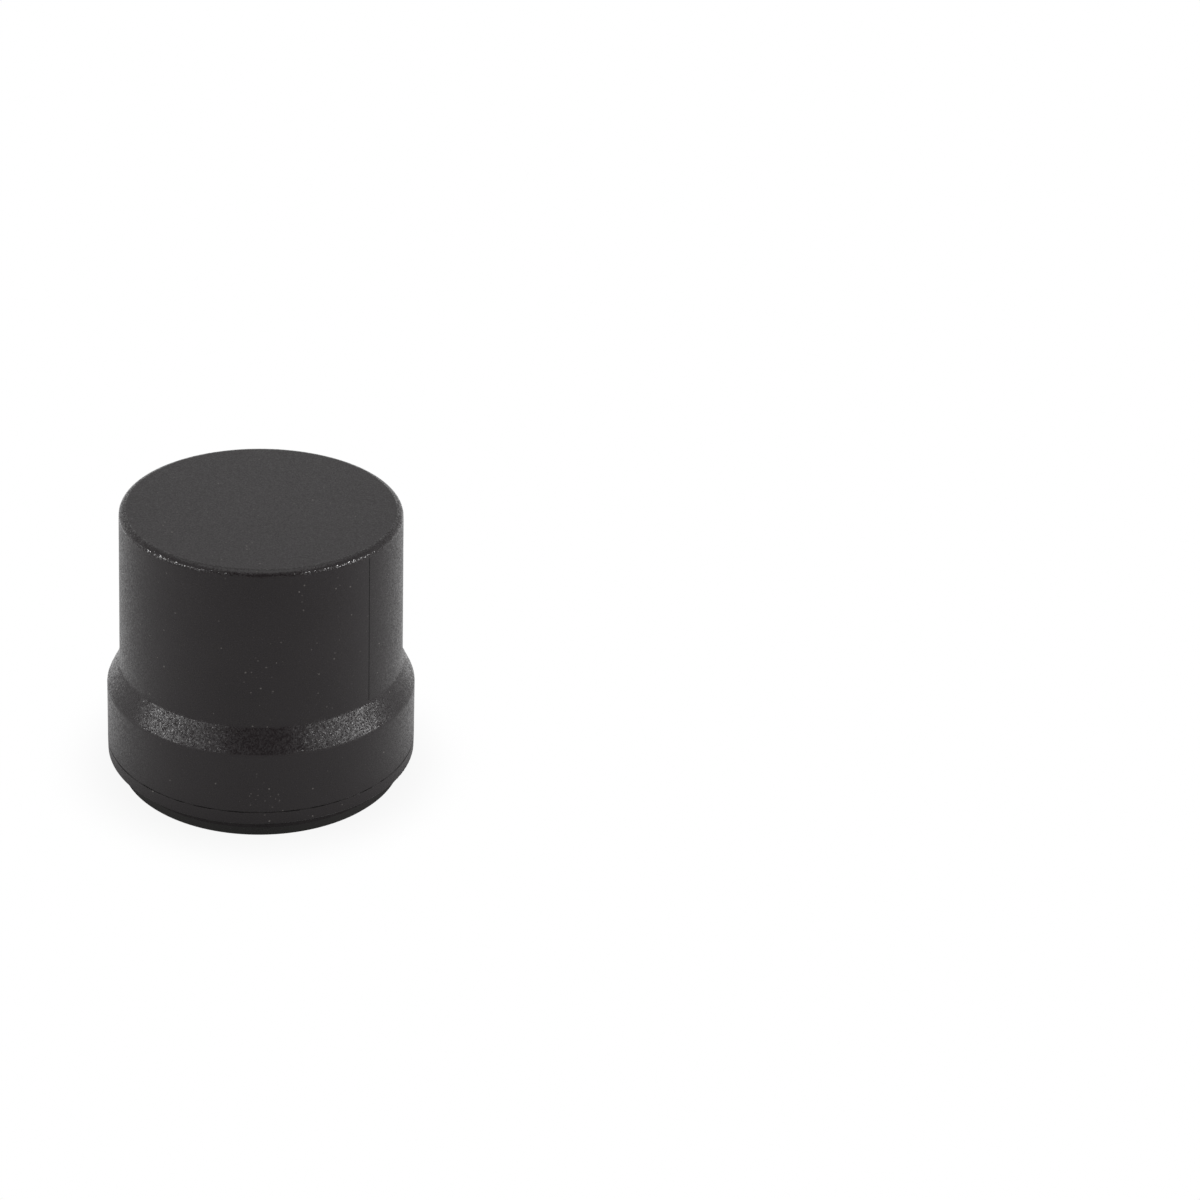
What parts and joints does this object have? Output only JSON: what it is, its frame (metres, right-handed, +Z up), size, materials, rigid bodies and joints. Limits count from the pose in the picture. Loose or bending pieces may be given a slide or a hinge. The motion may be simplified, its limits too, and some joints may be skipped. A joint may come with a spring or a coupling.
{
  "type": "gps antenna",
  "caption": "Screw-on GPS antenna: round drafted radome with a cone shoulder on a stepped base, coaxial plug recessed in the underside, ceramic patch and amplifier board inside.",
  "frame": {"origin": "centre of the gasket's lower face, where the antenna meets its panel", "axes": "+Z up through the radome's roof, along the plug's axis; -Y towards the side that the picture shows"},
  "size_m": [0.0484, 0.0484, 0.0452],
  "materials": {
    "radome_plastic": "black moulded plastic with a fine spark-eroded grain",
    "base_plastic": "black moulded plastic, same grain as the radome",
    "gasket_rubber": "moulded rubber, matt",
    "seal_rubber": "O-ring rubber",
    "screw_steel": "zinc-plated steel",
    "washer_steel": "spring steel",
    "plated_brass": "turned brass with a thin gold-coloured plating",
    "plated_contact": "turned contact with a thin gold-coloured plating",
    "tinned_brass": "tinned brass",
    "white_insulator": "white fluoropolymer, turned",
    "silicone": "red silicone ring",
    "sleeve_plastic": "heat-shrink sleeve",
    "cable_jacket": "black cable jacket",
    "board_laminate": "glass-epoxy laminate with green solder mask",
    "patch_ceramic": "fired microwave ceramic",
    "adhesive_foam": "double-sided adhesive foam",
    "tinned_steel": "tin-plated steel sheet",
    "filter_ceramic": "ceramic package with a metal lid",
    "chip_resin": "moulded epoxy",
    "chip_ceramic": "chip ceramic with tinned ends"
  },
  "bodies": {
    "root": {"radome": "radome_plastic", "base": "base_plastic", "mounting_gasket": "gasket_rubber", "housing_seal": "seal_rubber", "housing_screws": "screw_steel", "plug_shell": "plated_brass", "plug_body": "plated_brass", "plug_dielectric": "white_insulator", "plug_pin": "plated_contact", "mating_seal": "silicone", "plug_seal": "seal_rubber", "plug_lock_washer": "washer_steel", "plug_locknut": "plated_brass", "heat_shrink_sleeve": "sleeve_plastic", "inner_cable": "cable_jacket", "cable_plug": "plated_contact", "board_socket": "plated_contact", "circuit_board": "board_laminate", "board_screws": "screw_steel", "patch_antenna": "patch_ceramic", "patch_adhesive": "adhesive_foam", "feed_pin": "tinned_brass", "shield_frame": "tinned_steel", "shield_lid": "tinned_steel", "band_filter": "filter_ceramic", "amplifier_chips": "chip_resin", "voltage_regulator": "chip_resin", "chip_parts": "chip_ceramic"}
  },
  "joints": []
}
